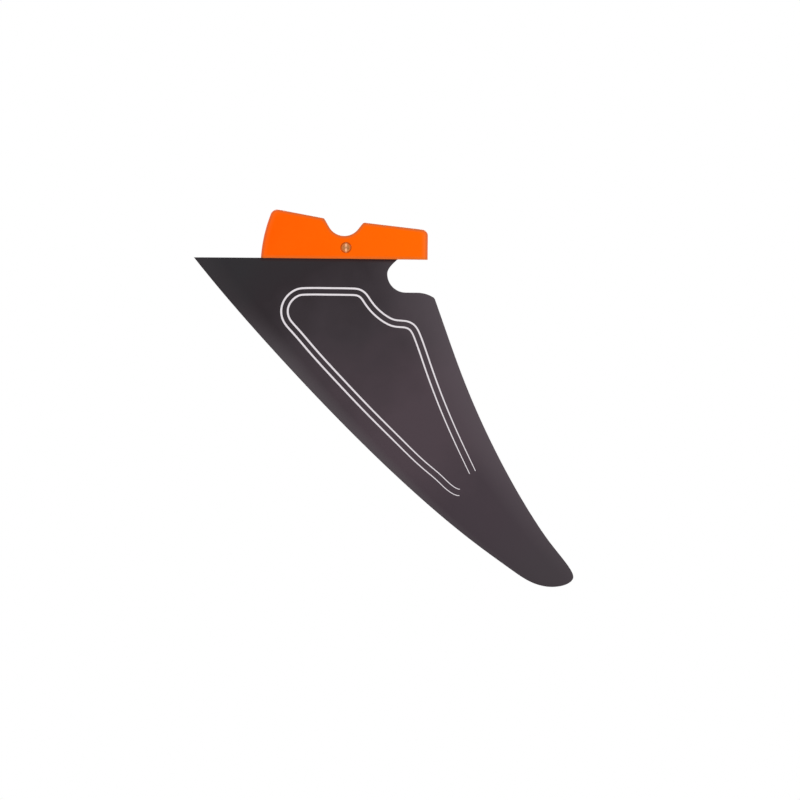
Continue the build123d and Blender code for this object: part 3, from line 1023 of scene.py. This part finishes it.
# Painted shadow: a thin dark band on the blade just under the head.
painted_seam_shadow = laminate.product(laminate.ranged(height, -0.0036, -0.0008, 0.0, 0.95), under_head)
laminate.feed("Base Color", laminate.between(painted_seam_shadow, with_blade_rim_highlight, linear(38, 6, 0)))
laminate.feed("Roughness", laminate.maths(
    "ADD",
    laminate.ranged(scratches, 0.3, 0.7, 0.38, 0.5),
    laminate.ranged(clouds, 0.3, 0.7, -0.03, 0.05),
))
relief = laminate.maths("ADD", scratches, laminate.product(grain, 0.6))
laminate.bump(relief, strength=0.25, distance=0.00006)
laminate.put_on(foil_blade)

# %% [markdown]
# ### Orange casting
#
# The head is poured in a polished mould: an even, strong orange with a soft sheen, with the faint
# waves and the few pinholes that poured resin has. A plain orange would do from afar, but the
# waves and pinholes are what tells resin from paint when the light runs over it.

# %% The head's colour, with painted light along it
HEAD_ENDS = (-0.08, 0.08)  # x, in metres, between which the orange changes

casting = Finish("orange_casting", Specular_IOR_Level=0.25, Specular_Tint=(1, 0.42, 0.06, 1))
waves = casting.noise(45, 3)
speck = casting.noise(1500, 2)
pinholes = casting.node("ShaderNodeTexVoronoi", [
    ("Vector", casting.place), ("Scale", 260.0), ("Randomness", 1.0),
]).outputs["Distance"]
aft_along_head = casting.axis("X")
# Painted light: the orange is painted a touch lighter and yellower towards the rear.
orange = casting.between(
    casting.ranged(aft_along_head, *HEAD_ENDS, 0.0, 1.0), linear(254, 91, 1), linear(255, 104, 2)
)
waved = casting.between(
    casting.ranged(waves, 0.35, 0.65, 0.0, 0.35), orange, linear(250, 100, 4)
)

# %% [markdown]
# The rounded ends get a painted highlight, a touch paler, more so at the rear. Along the edges the
# orange gets painted shade, browner and broken up by noise: most where the flat sides turn into
# the rounding, and hardly on the narrow top face between them. A duller, browner band is painted
# along the foot. Round the nut the bore's flare gets painted shade.

# %% Painted highlight on the ends, painted edge shade, painted shade round the nut, and the roughness
from_edge = casting.stored("from_edge")
at_end = casting.stored("end")
# Painted highlight: the rounded ends are painted paler, more so at the rear.
paler_aft = casting.ranged(aft_along_head, *HEAD_ENDS, 0.3, 0.9)
painted_end_highlight = casting.product(paler_aft, at_end, casting.ranged(from_edge, 0.0, 0.0065, 1.0, 0.0))
with_end_highlight = casting.between(painted_end_highlight, waved, linear(250, 112, 48))

# Painted shade along the edges, broken up by noise: a browner orange where the flat sides turn
# into the rounding.
uneven = casting.ranged(casting.noise(300, 3), 0.3, 0.7, 0.7, 1.3)
off_middle = casting.ranged(casting.maths("ABSOLUTE", casting.axis("Y")), 0.0022, 0.0044, 0.2, 1.0)
edge_shade_by_end = casting.ranged(at_end, 0.0, 1.0, 0.95, 0.65)
near_edge = casting.ranged(from_edge, 0.0, 0.0032, 1.0, 0.0)
painted_edge_shade = casting.product(uneven, off_middle, edge_shade_by_end, near_edge)
with_edge_shade = casting.between(painted_edge_shade, with_end_highlight, linear(196, 102, 54))
# A duller, browner band is painted along the foot.
near_foot = casting.ranged(casting.axis("Z"), 0.0002, 0.0034, 0.75, 0.0)
with_foot = casting.between(near_foot, with_edge_shade, linear(212, 110, 46))

bore_edge = NUT_RADIUS * MM
from_bore = casting.length(casting.from_nut_axis())
in_flare = casting.ranged(from_bore, bore_edge - 0.1 * MM, bore_edge + 0.9 * MM, 0.7, 0.0)
with_shade = casting.between(in_flare, with_foot, linear(176, 76, 20))
# Painted shade in the pinholes, which the bump also presses in.
in_pinhole = casting.ranged(pinholes, 0.03, 0.07, 0.35, 0.0)
casting.feed("Base Color", casting.between(in_pinhole, with_shade, linear(180, 62, 4)))
casting.feed("Roughness", casting.ranged(waves, 0.3, 0.7, 0.32, 0.42))
poured = casting.maths("ADD", waves, casting.product(speck, 0.15))
pitted = casting.maths("SUBTRACT", poured, casting.product(in_pinhole, 1.2))
casting.bump(pitted, strength=0.3, distance=0.0001)
casting.put_on(cast_head)

# %% [markdown]
# ### White ink
#
# Screen-printed ink is nearly white and a little rough, with a fine grain from the mesh that it
# was pushed through, and it lets a trace of the black show where it is thin. Two noises of very
# different size do both, the grain and the thin places.

# %% Finish of the stripes
ink = Finish("white_ink", Specular_IOR_Level=0.25)
ink_grain = ink.noise(3200, 2)
thin_places = ink.ranged(ink.noise(60, 3), 0.5, 0.75, 0.0, 0.3)
grained = ink.between(
    ink.ranged(ink_grain, 0.35, 0.7, 0.0, 0.4), linear(230, 224, 228), linear(206, 200, 204)
)
ink.feed("Base Color", ink.between(thin_places, grained, linear(200, 193, 198)))
ink.feed("Roughness", ink.ranged(ink_grain, 0.3, 0.7, 0.42, 0.58))
ink.bump(ink_grain, strength=0.3, distance=0.00003)
for pair in stripe_pairs.values():
    ink.put_on(pair)

# %% [markdown]
# ### Turned metal
#
# The cross nut is a short turned bar. Its ends show the fine rings of the lathe and have dulled.
# Its brown is partly the metal's own and partly a painted reflection of the orange around it, and
# its rim gets a painted orange reflection. The slot gets a painted glint towards its two ends. The
# CAD solid already has its slot and chamfers, so it stays as it is and only gets its metal. Its
# rings and its rim are drawn by the distance from the nut's own axis.

# %% Finish of the nut
SLOT_HALF = 0.00105  # metres from the slot's middle line to just outside its wall
SLOT_FADE = 0.00007

metal = Finish("turned_metal", Metallic=1.0)
about_axis = metal.from_nut_axis()
lathe_rings = metal.node("ShaderNodeTexWave", [
    ("Vector", about_axis), ("Scale", 900.0), ("Distortion", 0.6), ("Detail", 1.0),
], wave_type="RINGS", rings_direction="Y").outputs["Fac"]
stains = metal.noise(420, 4)
# Partly the metal's own brown and partly a painted reflection of the orange head around it.
dull_metal_and_painted_reflection = metal.between(
    metal.ranged(stains, 0.35, 0.65, 0.0, 1.0), linear(184, 126, 80), linear(144, 92, 50)
)
from_middle = metal.length(about_axis)
# Painted reflection: the rim is painted orange, as its chamfer would mirror the orange bore.
painted_rim_reflection = metal.ranged(from_middle, 0.0026, 0.0046, 0.0, 0.85)
with_rim_reflection = metal.between(painted_rim_reflection, dull_metal_and_painted_reflection, linear(214, 104, 34))

# Painted glint: the slot is painted bright towards its two ends.
off_slot = metal.maths("ABSOLUTE", metal.axis("X"))
in_slot = metal.ranged(off_slot, SLOT_HALF - SLOT_FADE, SLOT_HALF + SLOT_FADE, 1.0, 0.0)
past_middle = metal.ranged(from_middle, 0.0007, 0.0014, 0.35, 1.0)
before_rim = metal.ranged(from_middle, 0.0034, 0.0041, 1.0, 0.3)
painted_slot_glint = metal.product(in_slot, past_middle, before_rim)
metal.feed("Base Color", metal.between(painted_slot_glint, with_rim_reflection, linear(240, 180, 138)))
metal.feed("Roughness", metal.ranged(stains, 0.3, 0.7, 0.28, 0.5))
metal.bump(lathe_rings, strength=0.25, distance=0.00004)
metal.put_on(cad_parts["barrel_nut"])

# %% [markdown]
# ## Studio
#
# The fin was photographed square from its port side with a long lens, on pure white. The
# picture is 800 by 800, and at the fin it is 785 mm wide. An orthographic camera would come
# close, but a long lens gives the head's ends their trace of depth. The camera is turned 0.6
# degrees about its own line of sight, as the fin hangs a little off level in the photograph.

# %% Camera
VIEW_WIDTH, VIEW_DISTANCE = 0.7851, 5.0
TARGET = np.array([0.0545, 0.0, -0.1379])
ROLL = radians(0.6)
SENSOR = 36.0  # mm

lens = bpy.data.cameras.new("long_lens")
lens.sensor_width = SENSOR
lens.lens = SENSOR * VIEW_DISTANCE / VIEW_WIDTH
lens.clip_end = 50.0
camera = bpy.data.objects.new("long_lens", lens)
camera.location = TARGET - np.array([0, VIEW_DISTANCE, 0])
camera.rotation_euler = (pi / 2, -ROLL, 0)
bpy.context.scene.collection.objects.link(camera)
bpy.context.scene.camera = camera
bpy.context.view_layer.update()
print("lens", round(lens.lens), "mm; right is",
      [round(v, 4) for v in camera.matrix_world.to_3x3().col[0]])

# %% [markdown]
# ### White background
#
# The background could be made white by more light, but that would wash out the fin. Instead the
# world is white only to the camera and in mirrors, and lights the fin at its own plain level.

# %% World
AMBIENT = 0.62
scene = bpy.context.scene
scene.view_settings.view_transform = "Standard"


def seen_directly(nodes, links):
    """1 for rays from the camera, or off or through something glossy, and 0 for the rest."""
    ray = nodes.new("ShaderNodeLightPath")
    either = ray.outputs["Is Camera Ray"]
    for kind in ("Is Glossy Ray", "Is Transmission Ray"):
        join = nodes.new("ShaderNodeMath")
        join.operation = "MAXIMUM"
        links.new(either, join.inputs[0])
        links.new(ray.outputs[kind], join.inputs[1])
        either = join.outputs[0]
    return either


def white_light(nodes, strength):
    """A white background of this strength."""
    light = nodes.new("ShaderNodeBackground")
    light.inputs["Color"].default_value = (1, 1, 1, 1)
    light.inputs["Strength"].default_value = strength
    return light.outputs[0]


world = bpy.data.worlds.new("studio")
world.use_nodes = True
scene.world = world
sky, sky_links = world.node_tree.nodes, world.node_tree.links
sky.remove(sky["Background"])
choose = sky.new("ShaderNodeMixShader")
sky_links.new(seen_directly(sky, sky_links), choose.inputs["Fac"])
sky_links.new(white_light(sky, AMBIENT), choose.inputs[1])
sky_links.new(white_light(sky, 1.0), choose.inputs[2])
sky_links.new(choose.outputs[0], sky["World Output"].inputs["Surface"])
print("world:", AMBIENT, "on the fin, and white to the camera")

# %% [markdown]
# The floor lies well below the tip, out of the photograph's frame. It is lit like any floor, so
# that it keeps the fin's shadow, and is topped up towards white for the camera.

# %% Floor
FLOOR_HEIGHT, FLOOR_REACH = -0.74, 1.6
FLOOR_GREY, FLOOR_GLOW = 0.68, 0.26

corners = np.array([(-1, -1), (1, -1), (1, 1), (-1, 1)]) * FLOOR_REACH
floor_mesh = bpy.data.meshes.new("studio_floor")
floor_mesh.from_pydata([(x, y, FLOOR_HEIGHT) for x, y in corners], [], [(0, 1, 2, 3)])
studio_floor = bpy.data.objects.new("studio_floor", floor_mesh)
scene.collection.objects.link(studio_floor)

pale_floor = bpy.data.materials.new("pale_floor")
pale_floor.use_nodes = True
floor_nodes, floor_links = pale_floor.node_tree.nodes, pale_floor.node_tree.links
floor_nodes.remove(floor_nodes["Principled BSDF"])
lit = floor_nodes.new("ShaderNodeBsdfDiffuse")
lit.inputs["Color"].default_value = (FLOOR_GREY, FLOOR_GREY, FLOOR_GREY, 1)
glow = floor_nodes.new("ShaderNodeEmission")
glow.inputs["Color"].default_value = (FLOOR_GLOW, FLOOR_GLOW, FLOOR_GLOW, 1)
floor_links.new(seen_directly(floor_nodes, floor_links), glow.inputs["Strength"])
topped_up = floor_nodes.new("ShaderNodeAddShader")
floor_links.new(lit.outputs[0], topped_up.inputs[0])
floor_links.new(glow.outputs[0], topped_up.inputs[1])
floor_links.new(topped_up.outputs[0], floor_nodes["Material Output"].inputs["Surface"])
floor_mesh.materials.append(pale_floor)
print("floor", 2 * FLOOR_REACH, "m square,", -FLOOR_HEIGHT, "m below the hull")

# %% [markdown]
# ### Light
#
# Two large soft lamps light the fin from the camera's side, one high on the left and one lower
# on the right, so that both long edges of the foil catch some light. Small lamps would give hard
# glints that the photograph does not have. A third lamp lights the back.

# %% Lamps


def soft_lamp(name, place, power, size):
    """A square area lamp that looks at the middle of the fin: its yaw is the angle of the way
    there in plan, and its pitch the angle of that way from straight down."""
    light = bpy.data.lights.new(name, "AREA")
    light.energy, light.size = power, size
    lamp = bpy.data.objects.new(name, light)
    lamp.location = place
    towards = TARGET - np.array(place)
    yaw = np.arctan2(towards[0], -towards[1])
    pitch = np.arctan2(np.hypot(towards[0], towards[1]), -towards[2])
    lamp.rotation_euler = (pitch, 0, yaw + pi)
    scene.collection.objects.link(lamp)
    print(f"{name}: {power} W, {size} m square, {np.linalg.norm(towards):.1f} m away")


soft_lamp("high_left", (-1.3, -2.0, 1.3), 22, 1.4)
soft_lamp("low_right", (1.7, -1.9, -0.1), 17, 1.4)
soft_lamp("behind", (0.4, 2.3, 1.2), 30, 1.6)
